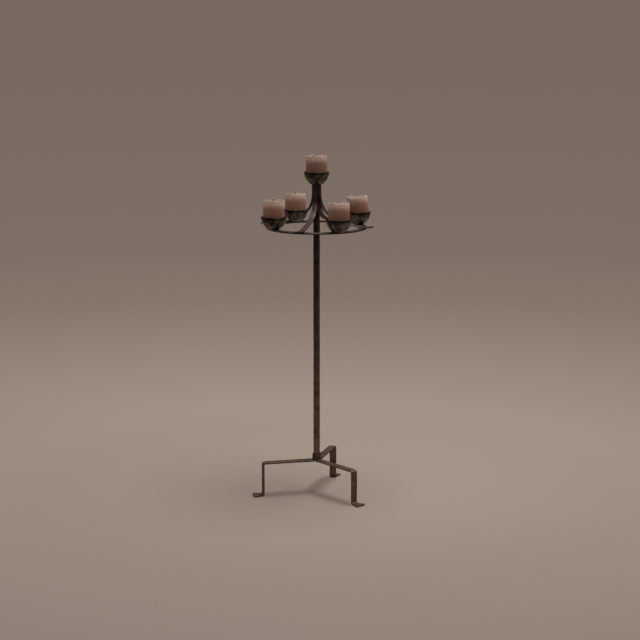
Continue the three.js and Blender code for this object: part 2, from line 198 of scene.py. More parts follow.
def turnedFormTree():
    # a line of radius and height turned round the upright axis, then hammered and waved
    tree, given = newTree("turnedForm", {
        "Sides": "whole", "Steps": "whole", "Height": "float", "Inside From": "float", "Dimple Size": "float",
        "Dimple Depth": "float", "Rim Wave": "float", "Seed": "float", "Material": "material"})
    across = addNode(tree, "ShaderNodeMath", {"operation": "ADD"}, in0=given["Sides"], in1=1.0)
    upward = addNode(tree, "ShaderNodeMath", {"operation": "ADD"}, in0=given["Steps"], in1=1.0)
    grid = addNode(tree, "GeometryNodeMeshGrid", in0=1.0, in1=1.0, in2=across, in3=upward)
    here = addNode(tree, "GeometryNodeInputPosition")
    parts = addNode(tree, "ShaderNodeSeparateXYZ", in0=here).outputs
    angle = addNode(tree, "ShaderNodeMath", {"operation": "MULTIPLY"}, in0=parts[0], in1=2 * math.pi)
    share = addNode(tree, "ShaderNodeMath", {"operation": "ADD"}, in0=parts[1], in1=0.5)
    form = addNode(tree, "GeometryNodeStoreNamedAttribute", in0=grid, Name="lineShare", Value=share)
    line = addNode(tree, "GeometryNodeSampleCurve", {"mode": "FACTOR"}, Curves=given["Geometry"], Factor=share)
    point = addNode(tree, "ShaderNodeSeparateXYZ", in0=line.outputs["Position"]).outputs
    cosine = addNode(tree, "ShaderNodeMath", {"operation": "COSINE"}, in0=angle)
    sine = addNode(tree, "ShaderNodeMath", {"operation": "SINE"}, in0=angle)
    x = addNode(tree, "ShaderNodeMath", {"operation": "MULTIPLY"}, in0=point[0], in1=cosine)
    y = addNode(tree, "ShaderNodeMath", {"operation": "MULTIPLY"}, in0=point[0], in1=sine)
    turned = addNode(tree, "ShaderNodeCombineXYZ", in0=x, in1=y, in2=point[2])
    form = addNode(tree, "GeometryNodeSetPosition", in0=form, Position=turned)
    form = addNode(tree, "GeometryNodeMergeByDistance", in0=form, Distance=0.01 * mm)

    # how near a spot is to the rim, for the bowls' painted rim shade
    level = addNode(tree, "ShaderNodeMath", {"operation": "DIVIDE"}, in0=parts[2], in1=given["Height"])
    rim = addNode(tree, "ShaderNodeMapRange", Value=level, FromMin=0.84, FromMax=0.98)
    form = addNode(tree, "GeometryNodeStoreNamedAttribute", in0=form, Name="rimWear", Value=rim)

    # blows fall on the outside: its hollows go inwards, and the inside is only pushed away
    # from what stands in it
    seedPlace = addNode(tree, "ShaderNodeCombineXYZ", in0=given["Seed"], in2=given["Seed"])
    where = addNode(tree, "ShaderNodeVectorMath", {"operation": "ADD"}, in0=here, in1=seedPlace)
    form, hollow = hammered(tree, form, where, given["Dimple Size"], given["Dimple Depth"])
    lineShare = addNode(tree, "GeometryNodeInputNamedAttribute", Name="lineShare")
    inside = addNode(tree, "ShaderNodeMath", {"operation": "GREATER_THAN"}, in0=lineShare, in1=given["Inside From"])
    ease = addNode(tree, "ShaderNodeMath", {"operation": "MULTIPLY_ADD"}, in0=inside, in1=-0.6, in2=1.0)
    push = addNode(tree, "ShaderNodeMath", {"operation": "MULTIPLY"}, in0=hollow, in1=ease)
    facing = addNode(tree, "GeometryNodeInputNormal")
    push = addNode(tree, "ShaderNodeVectorMath", {"operation": "SCALE"}, in0=facing, in3=push)
    form = addNode(tree, "GeometryNodeSetPosition", in0=form, Offset=push)

    # the rim wanders up and down
    upper = addNode(tree, "ShaderNodeMath", {"operation": "POWER"}, in0=level, in1=2.0)
    wander = addNode(tree, "ShaderNodeTexNoise", Vector=where, Scale=perMetre(38), Detail=1.0)
    wander = addNode(tree, "ShaderNodeMapRange", Value=wander, FromMin=0.25, FromMax=0.75, ToMin=-1.0, ToMax=0.0)
    wander = addNode(tree, "ShaderNodeMath", {"operation": "MULTIPLY"}, in0=wander, in1=given["Rim Wave"])
    lift = addNode(tree, "ShaderNodeMath", {"operation": "MULTIPLY"}, in0=wander, in1=upper)
    push = addNode(tree, "ShaderNodeCombineXYZ", in2=lift)
    form = addNode(tree, "GeometryNodeSetPosition", in0=form, Offset=push)
    endTree(tree, form, given["Material"])
    return tree


def twistedWickTree():
    tree, given = newTree("twistedWick", {
        "Strands": "whole", "Turns": "float", "Strand Radius": "float", "Twist Radius": "float", "Material": "material"})
    path = addNode(tree, "GeometryNodeResampleCurve", {"mode": "COUNT"}, in0=given["Geometry"], Count=42)
    copies = addNode(tree, "GeometryNodeDuplicateElements", {"domain": "SPLINE"}, in0=path, Amount=given["Strands"])
    along = addNode(tree, "GeometryNodeSplineParameter").outputs["Factor"]
    strands = addNode(tree, "GeometryNodeStoreNamedAttribute", in0=copies, Name="wickShare", Value=along)
    phase = addNode(tree, "ShaderNodeMath", {"operation": "DIVIDE"}, in0=copies.outputs[1], in1=given["Strands"])
    turn = addNode(tree, "ShaderNodeMath", {"operation": "MULTIPLY_ADD"}, in0=along, in1=given["Turns"], in2=phase)
    angle = addNode(tree, "ShaderNodeMath", {"operation": "MULTIPLY"}, in0=turn, in1=2 * math.pi)
    cosine = addNode(tree, "ShaderNodeMath", {"operation": "COSINE"}, in0=angle)
    sine = addNode(tree, "ShaderNodeMath", {"operation": "SINE"}, in0=angle)
    circle = addNode(tree, "ShaderNodeCombineXYZ", in0=cosine, in1=sine)
    push = addNode(tree, "ShaderNodeVectorMath", {"operation": "SCALE"}, in0=circle, in3=given["Twist Radius"])
    strands = addNode(tree, "GeometryNodeSetPosition", in0=strands, Offset=push)
    section = addNode(tree, "GeometryNodeCurvePrimitiveCircle", Resolution=7, Radius=given["Strand Radius"])
    threads = addNode(tree, "GeometryNodeCurveToMesh", Curve=strands, ProfileCurve=section, FillCaps=True)
    endTree(tree, threads, given["Material"])
    return tree


def weldBeadTree():
    # overlapping ripples laid one after another along a seam
    tree, given = newTree("weldBead", {
        "Ripple Spacing": "float", "Bead Radius": "float", "Seed": "whole", "Material": "material"})
    dots = addNode(tree, "GeometryNodeCurveToPoints", {"mode": "LENGTH"}, in0=given["Geometry"],
                   Length=given["Ripple Spacing"])
    blob = addNode(tree, "GeometryNodeMeshIcoSphere", Radius=given["Bead Radius"], Subdivisions=2)
    size = addNode(tree, "FunctionNodeRandomValue", {"data_type": "FLOAT"}, in2=0.75, in3=1.15, Seed=given["Seed"])
    ripples = addNode(tree, "GeometryNodeInstanceOnPoints", Points=dots, Instance=blob, Scale=size)
    endTree(tree, ripples, given["Material"])
    return tree


barTree, turnedTree, wickTree, beadTree = forgedBarTree(), turnedFormTree(), twistedWickTree(), weldBeadTree()
print("node trees made")


# ways of making pieces

def tempObject(name, data):
    made = bpy.data.objects.new(name, data)
    scene.collection.objects.link(made)
    return made


def settled(source, name):
    # the object as it looks with its modifiers, kept as a plain mesh; the object goes
    bpy.context.view_layer.update()
    mesh = bpy.data.meshes.new_from_object(source.evaluated_get(bpy.context.evaluated_depsgraph_get()))
    bpy.data.objects.remove(source)
    mesh.name = name
    return mesh


def grown(name, source, tree, values):
    modifier = source.modifiers.new("shape", "NODES")
    modifier.node_group = tree
    for item in tree.interface.items_tree:
        if item.in_out == "INPUT" and item.name in values:
            modifier[item.identifier] = values[item.name]
    return settled(source, name)


def worked(mesh, steps):
    # bevels and cuts, one after another
    source = tempObject("blank", mesh)
    for kind, settings in steps:
        step = source.modifiers.new(kind.lower(), kind)
        for key, value in settings.items():
            setattr(step, key, value)
    result = settled(source, mesh.name)
    for kind, settings in steps:
        if kind == "BOOLEAN":
            bpy.data.objects.remove(settings["object"])
    return result


def asPiece(name, mesh, body, slotName, *nodes):
    shape = bmesh.new()
    shape.from_mesh(mesh)
    bmesh.ops.recalc_face_normals(shape, faces=shape.faces)
    shape.to_mesh(mesh)
    shape.free()
    mesh.set_sharp_from_angle(angle=math.radians(50))
    piece = tempObject(name, mesh)
    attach(piece, body)
    if nodes:
        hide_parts(*nodes)


def pathObject(name, *lines, closed=False):
    path = bpy.data.curves.new(name, "CURVE")
    path.dimensions = "3D"
    for points in lines:
        spline = path.splines.new("POLY")
        spline.points.add(len(points) - 1)
        for target, point in zip(spline.points, points):
            target.co = (*[c * mm for c in point], 1)
        spline.use_cyclic_u = closed
    return tempObject(name, path)


def arcPoints(centre, radius, fromAngle, toAngle, steps):
    angles = [math.radians(fromAngle + (toAngle - fromAngle) * i / steps) for i in range(steps + 1)]
    return [(centre[0] + radius * math.cos(a), 0, centre[1] + radius * math.sin(a)) for a in angles]


def curvePoints(controls, steps):
    points = []
    for i in range(1, steps + 1):
        level = [Vector(c) for c in controls]
        while len(level) > 1:
            level = [a.lerp(b, i / steps) for a, b in zip(level, level[1:])]
        points.append((level[0].x, 0, level[0].y))
    return points


def sectionPoints(width, thickness, rounding, step=1.6):
    # a bar's section as a closed line: rounded corners, with points along the flats
    corners = [(1, 1), (-1, 1), (-1, -1), (1, -1)]
    points = []
    for i, (sx, sy) in enumerate(corners):
        centre = (sx * (width / 2 - rounding), sy * (thickness / 2 - rounding))
        turns = [math.radians(90 * i + 30 * k) for k in range(4)]
        points += [(centre[0] + rounding * math.cos(a), centre[1] + rounding * math.sin(a), 0) for a in turns]
        nextX, nextY = corners[(i + 1) % 4]
        last = points[-1]
        goal = (nextX * (width / 2 - rounding) + rounding * math.cos(turns[-1]),
                nextY * (thickness / 2 - rounding) + rounding * math.sin(turns[-1]))
        count = max(1, round(math.dist(last[:2], goal) / step))
        points += [(last[0] + (goal[0] - last[0]) * k / count, last[1] + (goal[1] - last[1]) * k / count, 0)
                   for k in range(1, count)]
    return points


def prismObject(name, outline, bottom, top):
    count = len(outline)
    points = [(x * mm, y * mm, z * mm) for z in (bottom, top) for x, y in outline]
    faces = [tuple(range(count))[::-1], tuple(range(count, 2 * count))]
    faces += [(i, (i + 1) % count, count + (i + 1) % count, count + i) for i in range(count)]
    mesh = bpy.data.meshes.new(name)
    mesh.from_pydata(points, [], faces)
    return tempObject(name, mesh)


def square(side, turn=0):
    half, back = side / 2, math.radians(turn)
    return [(x * math.cos(back) - y * math.sin(back), x * math.sin(back) + y * math.cos(back))
            for x, y in ((-half, -half), (half, -half), (half, half), (-half, half))]


def placed(turn, radius=0, height=0):
    # turned about the column's axis, at a distance from it and a height
    return (Matrix.Translation(axis) @ Matrix.Rotation(math.radians(turn), 4, "Z")
            @ Matrix.Translation((radius * mm, 0, height * mm)))


def forgedBar(name, points, size, side, settings, place, material, cuts=(), closed=False):
    width, thickness = size
    section = pathObject("section", sectionPoints(width, thickness, settings["rounding"]), closed=True)
    mesh = grown(name, pathObject(name, points, closed=closed), barTree, {
        "Section": section, "Half Width": width / 2 * mm, "Half Thickness": thickness / 2 * mm, "Side": side,
        "Step": settings["step"] * mm, "Tip Length": settings.get("tipLength", 1) * mm,
        "Tip Spread": settings.get("tipWidth", width) / width - 1, "Dent Size": settings["dentSize"] * mm,
        "Dent Depth": settings["dentDepth"] * mm, "Sway": settings["sway"] * mm, "Seed": settings["seed"],
        "Material": material})
    bpy.data.objects.remove(section)
    steps = [("BOOLEAN", {"operation": operation, "object": cutter, "solver": "EXACT"}) for operation, cutter in cuts]
    if not closed:
        steps.insert(0, ("BEVEL", {"width": settings["endBevel"] * mm, "segments": 2, "limit_method": "ANGLE",
                                   "angle_limit": math.radians(50)}))
    if steps:
        mesh = worked(mesh, steps)
    mesh.transform(place)
    return mesh


# hot-rolled steel bar, forged, wire-brushed and waxed: brown-black scale that gives a dull
# sheen, with paler steel where hands and hammer have rubbed the edges
barFinish = {"dark": "#4c403a", "scale": "#74655c", "light": "#8e7d73", "rust": "#72503f", "bare": "#b5a69a",
             "patchSize": 22, "rustSize": 47, "grainSize": 1.6, "roughness": (0.37, 0.55), "rubbed": 0.5,
             # the tones below are painted light and shade: lighter low down, darker higher up, and darker on the tops
             "sideTone": 1.0, "topTone": 0.86, "lowTone": 1.35, "highTone": 0.68, "grazing": "#a39b94"}
# the column is painted darkest at the top, for the shade under the bowls, and lightest low down, for the lit floor it
# mirrors
columnFinish = {**barFinish, "lowTone": 1.5, "highTone": 0.5}
# the legs' sides are painted darker and their tops lighter, for how the light falls on them, and their edges are rubbed
# less
legFinish = {**barFinish, "sideTone": 0.76, "topTone": 1.05, "rubbed": 0.22}
# the collar took the most heat: blue-black scale, with bright flecks painted in for glints
collarFinish = {**barFinish, "dark": "#24221f", "scale": "#45423e", "light": "#9c958d", "rust": "#3f322b",
                "patchSize": 5, "roughness": (0.25, 0.5)}


def forgedSteel(name, finish):
    material, tree, shader, where = newMaterial(name)
    patches = addNode(tree, "ShaderNodeTexNoise", Vector=where, Scale=perMetre(finish["patchSize"]), Detail=5.0,
                      Roughness=0.62)
    grain = addNode(tree, "ShaderNodeTexNoise", Vector=where, Scale=perMetre(finish["grainSize"]), Detail=3.0)
    rusty = addNode(tree, "ShaderNodeTexNoise", Vector=where, Scale=perMetre(finish["rustSize"]), Detail=6.0,
                    Roughness=0.7)
    worn = addNode(tree, "ShaderNodeAttribute", {"attribute_name": "wornEdge"}).outputs["Fac"]
    tone = addNode(tree, "ShaderNodeValToRGB", {"stops": [
        (0.30, finish["dark"]), (0.52, finish["scale"]), (0.78, finish["light"])]}, in0=patches)
    rustShare = addNode(tree, "ShaderNodeMapRange", Value=rusty, FromMin=0.55, FromMax=0.75, ToMax=0.45)
    tone = addNode(tree, "ShaderNodeMix", {"data_type": "RGBA"}, in0=rustShare, in6=tone, in7=linearColour(finish["rust"]))
    speckle = addNode(tree, "ShaderNodeMapRange", Value=grain, FromMin=0.35, FromMax=0.7, ToMin=0.72, ToMax=1.2)
    # painted light and shade: lighter low down, where the lit floor is mirrored, darker higher up in the shade of bowls
    # and ring
    level = addNode(tree, "ShaderNodeSeparateXYZ", in0=where).outputs[2]
    soot = addNode(tree, "ShaderNodeMapRange", Value=level, FromMin=0.1, FromMax=0.75, ToMin=finish["lowTone"],
                   ToMax=finish["highTone"])
    speckle = addNode(tree, "ShaderNodeMath", {"operation": "MULTIPLY"}, in0=speckle, in1=soot)
    # painted light and shade by facing: tops and sides take their own tones
    upward = addNode(tree, "ShaderNodeAttribute", {"attribute_name": "upward"}).outputs["Fac"]
    facingShade = addNode(tree, "ShaderNodeMapRange", Value=upward, ToMin=finish["sideTone"], ToMax=finish["topTone"])
    speckle = addNode(tree, "ShaderNodeMath", {"operation": "MULTIPLY"}, in0=speckle, in1=facingShade)
    tone = addNode(tree, "ShaderNodeVectorMath", {"operation": "SCALE"}, in0=tone, in3=speckle)
    rub = addNode(tree, "ShaderNodeMath", {"operation": "MULTIPLY"}, in0=worn, in1=patches)
    rubShare = addNode(tree, "ShaderNodeMapRange", Value=rub, FromMin=0.3, FromMax=0.65, ToMax=finish["rubbed"])
    tone = addNode(tree, "ShaderNodeMix", {"data_type": "RGBA"}, in0=rubShare, in6=tone,
                   in7=linearColour(finish["bare"]))
    low, high = finish["roughness"]
    sheen = addNode(tree, "ShaderNodeMapRange", Value=patches, FromMin=0.3, FromMax=0.7, ToMin=high, ToMax=low)
    bump = addNode(tree, "ShaderNodeBump", Strength=0.5, Distance=0.12 * mm, Height=grain)
    tree.links.new(tone.outputs[2], shader.inputs["Base Color"])
    tree.links.new(sheen.outputs[0], shader.inputs["Roughness"])
    tree.links.new(bump.outputs[0], shader.inputs["Normal"])
    shader.inputs["Metallic"].default_value = 0.88
    shader.inputs["Specular Tint"].default_value = linearColour(finish["grazing"])
    shader.inputs["Coat Weight"].default_value = 0.08  # the wax
    shader.inputs["Coat Roughness"].default_value = 0.35
    return material


# mild-steel sheet raised with a ball hammer and oil-blackened: each dimple's hollow is painted darker and the ridges
# between dimples paler, as painted reflections, and a painted shade blackens the rim
sheetFinish = {"black": "#221e1b", "brown": "#524840", "light": "#786d62", "ridge": "#82786d", "rim": "#120e0c",
               "patchSize": 10, "grainSize": 1.4, "roughness": (0.22, 0.42)}


def blackenedSheet():
    material, tree, shader, where = newMaterial("blackenedSheet")
    finish = sheetFinish
    patches = addNode(tree, "ShaderNodeTexNoise", Vector=where, Scale=perMetre(finish["patchSize"]), Detail=5.0,
                      Roughness=0.6)
    grain = addNode(tree, "ShaderNodeTexNoise", Vector=where, Scale=perMetre(finish["grainSize"]), Detail=3.0)
    ridge = addNode(tree, "ShaderNodeAttribute", {"attribute_name": "ridge"}).outputs["Fac"]
    rim = addNode(tree, "ShaderNodeAttribute", {"attribute_name": "rimWear"}).outputs["Fac"]
    tone = addNode(tree, "ShaderNodeValToRGB", {"stops": [
        (0.40, finish["black"]), (0.54, finish["brown"]), (0.69, finish["light"])]}, in0=patches)
    # painted reflections: ridges paler and dimple hollows darker
    ridgeShare = addNode(tree, "ShaderNodeMapRange", Value=ridge, FromMin=0.55, FromMax=1.0, ToMax=0.4)
    tone = addNode(tree, "ShaderNodeMix", {"data_type": "RGBA"}, in0=ridgeShare, in6=tone,
                   in7=linearColour(finish["ridge"]))
    depth = addNode(tree, "ShaderNodeMapRange", Value=ridge, FromMin=0.05, FromMax=0.6, ToMin=0.55, ToMax=1.05)
    tone = addNode(tree, "ShaderNodeVectorMath", {"operation": "SCALE"}, in0=tone, in3=depth)
    # painted shade: the bowl darkens towards its rim
    rimShadeShare = addNode(tree, "ShaderNodeMapRange", Value=rim, FromMin=0.0, FromMax=0.6, ToMax=0.92)
    tone = addNode(tree, "ShaderNodeMix", {"data_type": "RGBA"}, in0=rimShadeShare, in6=tone,
                   in7=linearColour(finish["rim"]))
    low, high = finish["roughness"]
    sheen = addNode(tree, "ShaderNodeMapRange", Value=patches, FromMin=0.3, FromMax=0.7, ToMin=high, ToMax=low)
    bump = addNode(tree, "ShaderNodeBump", Strength=0.4, Distance=0.12 * mm, Height=grain)
    tree.links.new(tone.outputs[2], shader.inputs["Base Color"])
    tree.links.new(sheen.outputs[0], shader.inputs["Roughness"])
    tree.links.new(bump.outputs[0], shader.inputs["Normal"])
    shader.inputs["Metallic"].default_value = 0.85
    shader.inputs["Coat Weight"].default_value = 0.15  # the oil
    shader.inputs["Coat Roughness"].default_value = 0.25
    return material


# mild-steel spike, turned and left bright, gone dull and brown under wax
spikeFinish = {"steel": "#6b6058", "stain": "#3b2d25", "stainSize": 7, "turningPitch": 1.2}


def turnedSpikeSteel():
    material, tree, shader, where = newMaterial("turnedSpikeSteel")
    stains = addNode(tree, "ShaderNodeTexNoise", Vector=where, Scale=perMetre(spikeFinish["stainSize"]), Detail=4.0)
    # a wave band repeats every 0.314 of its scale's unit; real turning marks are finer
    rings = addNode(tree, "ShaderNodeTexWave", {"wave_type": "BANDS", "bands_direction": "Z"}, Vector=where,
                    Scale=0.314 * perMetre(spikeFinish["turningPitch"]), Distortion=0.4).outputs["Fac"]
    tone = addNode(tree, "ShaderNodeValToRGB", {"stops": [
        (0.35, spikeFinish["stain"]), (0.65, spikeFinish["steel"])]}, in0=stains)
    bump = addNode(tree, "ShaderNodeBump", Strength=0.3, Distance=0.05 * mm, Height=rings)
    tree.links.new(tone.outputs[0], shader.inputs["Base Color"])
    tree.links.new(bump.outputs[0], shader.inputs["Normal"])
    shader.inputs["Metallic"].default_value = 1.0
    shader.inputs["Roughness"].default_value = 0.4
    return material


# brushed arc weld: rounded ripples, greyer than the bar and a little brighter on top
weldFinish = {"steel": "#5a4f47", "soot": "#2a2320", "mottleSize": 5, "grainSize": 1.1}


def brushedWeld():
    material, tree, shader, where = newMaterial("brushedWeld")
    mottle = addNode(tree, "ShaderNodeTexNoise", Vector=where, Scale=perMetre(weldFinish["mottleSize"]), Detail=4.0)
    grain = addNode(tree, "ShaderNodeTexNoise", Vector=where, Scale=perMetre(weldFinish["grainSize"]), Detail=2.0)
    tone = addNode(tree, "ShaderNodeValToRGB", {"stops": [
        (0.38, weldFinish["soot"]), (0.62, weldFinish["steel"])]}, in0=mottle)
    bump = addNode(tree, "ShaderNodeBump", Strength=0.4, Distance=0.1 * mm, Height=grain)
    tree.links.new(tone.outputs[0], shader.inputs["Base Color"])
    tree.links.new(bump.outputs[0], shader.inputs["Normal"])
    shader.inputs["Metallic"].default_value = 0.85
    shader.inputs["Roughness"].default_value = 0.42
    return material


# moulded paraffin and stearin wax: light sinks in and comes out warmer; a glow is painted in under the top edge,
# the flanks are painted darker towards the foot, and the smoother burnt top is painted darker, darkest in its pool
waxFinish = {"foot": "#836152", "flank": "#977161", "upper": "#a47d6c", "warm": "#bda192", "glow": "#d4c0b4",
             "edge": "#c4b2a8", "top": "#5a4e49", "pool": "#645852", "mottleSize": 14, "peelSize": 2.2,
             "glowDepth": 14, "fresh": 1.13}


def pillarWax():
    material, tree, shader, where = newMaterial("pillarWax")
    finish = waxFinish
    # along the turned line the flank runs from 0.24 to 0.70, and the top from 0.74 to the wick
    along = addNode(tree, "ShaderNodeAttribute", {"attribute_name": "lineShare"}).outputs["Fac"]
    mottle = addNode(tree, "ShaderNodeTexNoise", Vector=where, Scale=perMetre(finish["mottleSize"]), Detail=4.0,
                     Roughness=0.55)
    peel = addNode(tree, "ShaderNodeTexNoise", Vector=where, Scale=perMetre(finish["peelSize"]), Detail=2.0)
    drift = addNode(tree, "ShaderNodeMapRange", Value=mottle, FromMin=0.3, FromMax=0.7, ToMin=-0.01, ToMax=0.01)
    level = addNode(tree, "ShaderNodeMath", {"operation": "ADD"}, in0=along, in1=drift)
    # painted light along the candle: darker flanks, a painted glow under the edge, a darker top and pool
    tone = addNode(tree, "ShaderNodeValToRGB", {"stops": [
        (0.26, finish["foot"]), (0.43, finish["flank"]), (0.54, finish["upper"]), (0.6, finish["warm"]),
        (0.65, finish["glow"]), (0.69, finish["edge"]), (0.73, finish["top"]), (0.82, finish["pool"])]}, in0=level)
    speckle = addNode(tree, "ShaderNodeMapRange", Value=mottle, FromMin=0.3, FromMax=0.7, ToMin=0.96, ToMax=1.04)
    # the candles on the ring are painted paler than the top one, to make up for the less lamp light they get
    height = addNode(tree, "ShaderNodeSeparateXYZ", in0=where).outputs[2]
    lampDistanceTone = addNode(tree, "ShaderNodeMapRange", Value=height, FromMin=0.87, FromMax=0.89, ToMin=finish["fresh"], ToMax=1.0)
    speckle = addNode(tree, "ShaderNodeMath", {"operation": "MULTIPLY"}, in0=speckle, in1=lampDistanceTone)
    tone = addNode(tree, "ShaderNodeVectorMath", {"operation": "SCALE"}, in0=tone, in3=speckle)
    gloss = addNode(tree, "ShaderNodeMapRange", Value=mottle, FromMin=0.3, FromMax=0.7, ToMin=0.40, ToMax=0.55)
    bump = addNode(tree, "ShaderNodeBump", Strength=0.3, Distance=0.15 * mm, Height=peel)
    tree.links.new(tone.outputs[0], shader.inputs["Base Color"])
    tree.links.new(gloss.outputs[0], shader.inputs["Roughness"])
    tree.links.new(bump.outputs[0], shader.inputs["Normal"])
    shader.inputs["IOR"].default_value = 1.44
    shader.inputs["Specular IOR Level"].default_value = 0.32
    shader.inputs["Subsurface Weight"].default_value = 0.9
    shader.inputs["Subsurface Radius"].default_value = (1.0, 0.93, 0.87)
    shader.inputs["Subsurface Scale"].default_value = finish["glowDepth"] * mm
    return material


# braided cotton soaked in wax: brown at the foot, charred at the end
wickFinish = {"waxed": "#6a4736", "charred": "#2a1e19", "fibreSize": 0.5}


def waxedCotton():
    material, tree, shader, where = newMaterial("waxedCotton")
    along = addNode(tree, "ShaderNodeAttribute", {"attribute_name": "wickShare"}).outputs["Fac"]
    fibres = addNode(tree, "ShaderNodeTexNoise", Vector=where, Scale=perMetre(wickFinish["fibreSize"]), Detail=2.0)
    tone = addNode(tree, "ShaderNodeValToRGB", {"stops": [
        (0.55, wickFinish["waxed"]), (0.8, wickFinish["charred"])]}, in0=along)
    bump = addNode(tree, "ShaderNodeBump", Strength=0.6, Distance=0.1 * mm, Height=fibres)
    tree.links.new(tone.outputs[0], shader.inputs["Base Color"])
    tree.links.new(bump.outputs[0], shader.inputs["Normal"])
    shader.inputs["Roughness"].default_value = 0.85
    return material


waxedSteel, sootySteel, dustySteel, scaledSteel = (forgedSteel(name, finish) for name, finish in (
    ("waxedSteel", barFinish), ("sootySteel", columnFinish), ("dustySteel", legFinish), ("scaledSteel", collarFinish)))
sheet, spikeSteel, weld, wax, cotton = (
    blackenedSheet(), turnedSpikeSteel(), brushedWeld(), pillarWax(), waxedCotton())
print("materials made")


# column: one length of square bar, from the underside of the legs to under the top bowl
column = {"side": 15, "bottom": 94, "top": 888.5, "rounding": 0.9, "endBevel": 0.4, "step": 2.4,
          "dentSize": 14, "dentDepth": 0.16, "sway": 0.35, "seed": 3.0}
asPiece("column_bar", forgedBar(
    "column_bar", [(0, 0, column["bottom"]), (0, 0, column["top"])], (column["side"], column["side"]), (0, 1, 0),
    column, placed(0), sootySteel), "stand", "forged_iron", "column")
print("column made")


# collar: a short square sleeve welded round the foot of the column
collar = {"side": 20.2, "hole": 15.6, "bottom": 94, "top": 117, "rounding": 1.3, "endBevel": 0.8, "step": 1.4,
          "dentSize": 8, "dentDepth": 0.3, "sway": 0.15, "seed": 5.0}
asPiece("collar_sleeve", forgedBar(
    "collar_sleeve", [(0, 0, collar["bottom"]), (0, 0, collar["top"])], (collar["side"], collar["side"]), (0, 1, 0),
    collar, placed(0), scaledSteel, [("DIFFERENCE", prismObject("bore", square(collar["hole"]), 90, 120))]),
    "stand", "forged_iron", "base_collar")
print("collar made")


# legs: flat bar, level from the collar, bent down, and bent out again into a spread foot
leg = {"width": 20, "thickness": 5, "top": 99, "reach": 156, "bend": 7, "foot": 28.8, "tipWidth": 31, "tipLength": 22,
       "gap": 0.3, "rounding": 0.9, "endBevel": 0.6, "step": 1.6, "dentSize": 12, "dentDepth": 0.1, "sway": 0.3,
       "turns": {"rear": 90, "left": 210, "right": 330}}


def makeLeg(side, turn, seed):
    topLine, footLine = leg["top"] - leg["thickness"] / 2, leg["thickness"] / 2 + 0.05
    reach, bend, far = leg["reach"], leg["bend"], 300
    points = [(2, 0, topLine)]
    points += arcPoints((reach - bend, topLine - bend), bend, 90, 0, 10)
    points += arcPoints((reach + bend, footLine + bend), bend, 180, 270, 10)
    points += [(reach + leg["foot"], 0, footLine)]
    apex = leg["gap"] / 2 / math.sin(math.radians(60))
    wedge = [(apex, 0), (apex + far / 2, -far * 0.866), (far, 0), (apex + far / 2, far * 0.866)]
    sleeve = square(collar["side"] + 2 * leg["gap"], -turn)
    cuts = [("INTERSECT", prismObject("mitre", wedge, -5, leg["top"] + 5)),
            ("DIFFERENCE", prismObject("sleeveCut", sleeve, leg["top"] - 12, leg["top"] + 5))]
    mesh = forgedBar(f"leg_bar_{side}", points, (leg["width"], leg["thickness"]), (0, 1, 0),
                     {**leg, "seed": seed}, placed(turn), dustySteel, cuts)
    asPiece(f"leg_bar_{side}", mesh, "stand", "forged_iron", f"leg_{side}")


for seed, (side, turn) in enumerate(leg["turns"].items()):
    makeLeg(side, turn, 11.0 + seed)
print("legs made")


# ring: flat band lying level, carried by the arms
ring = {"radius": 140, "band": 16, "thickness": 5, "top": 770.5, "rounding": 0.9, "step": 2.0,
        "dentSize": 13, "dentDepth": 0.2, "sway": 0.5, "seed": 21.0}
ringMiddle = ring["radius"] - ring["band"] / 2
ringPath = [(ringMiddle * math.cos(a), ringMiddle * math.sin(a), ring["top"] - ring["thickness"] / 2)
            for a in (math.radians(1.5 * i) for i in range(240))]
asPiece("ring_band", forgedBar(
    "ring_band", ringPath, (ring["thickness"], ring["band"]), (0, 0, 1), ring, placed(0), waxedSteel, closed=True),
    "stand", "forged_iron", "ring")
print("ring made")


# arms: flat bar down the faces of the column, flared like a trumpet and laid over the ring
arm = {"width": 15, "thickness": 4, "weldLength": 20, "hug": 62, "sweep": 88, "lift": 16, "tipReach": 30, "tipRise": 2,
       "tipWidth": 22, "tipLength": 30, "rounding": 0.9, "endBevel": 0.7, "step": 1.6, "dentSize": 11,
       "dentDepth": 0.22, "sway": 0.5, "gap": 0.3, "turns": {"front": 270, "right": 0, "rear": 90, "left": 180}}


def makeArm(side, turn, seed):
    onColumn = column["side"] / 2 + arm["gap"] + arm["thickness"] / 2
    onRing = ring["top"] + arm["gap"] + arm["thickness"] / 2
    flareTop = column["top"] - arm["weldLength"]
    points = [(onColumn, 0, column["top"]), (onColumn, 0, flareTop)]
    points += curvePoints([(onColumn, flareTop), (onColumn, flareTop - arm["hug"]),
                           (ringMiddle - arm["sweep"], onRing + arm["lift"]), (ringMiddle, onRing)], 60)
    points += curvePoints([(ringMiddle, onRing), (ringMiddle + arm["tipReach"] / 2, onRing),
                           (ringMiddle + arm["tipReach"], onRing + arm["tipRise"])], 12)
    mesh = forgedBar(f"arm_bar_{side}", points, (arm["width"], arm["thickness"]), (0, 1, 0),
                     {**arm, "seed": seed}, placed(turn), waxedSteel)
    asPiece(f"arm_bar_{side}", mesh, "stand", "forged_iron", f"arm_{side}")


for seed, (side, turn) in enumerate(arm["turns"].items()):
    makeArm(side, turn, 31.0 + seed)
print("arms made")


# bowls: sheet raised over a stake, with a flat base and a rim left as hammered
bowl = {"height": 34.5, "baseRadius": 18.3, "rimRadius": 35.3, "wall": 1.6, "fullness": 2.3, "sides": 160, "steps": 150,
        "dimpleSize": 15, "dimpleDepth": 0.9, "rimWave": 1.2}
holders = {"top": (0, 0, column["top"] + 0.3)}
for name, turn in (("front_right", 315), ("back_right", 45), ("back_left", 135), ("front_left", 225)):
    holders[name] = (turn, ringMiddle, ring["top"] + 0.3)


def bowlRadius(z, inset):
    rest = max(0, 1 - (z - inset) / (bowl["height"] - inset))
    return bowl["baseRadius"] - inset + (bowl["rimRadius"] - bowl["baseRadius"]) * (1 - rest ** bowl["fullness"])


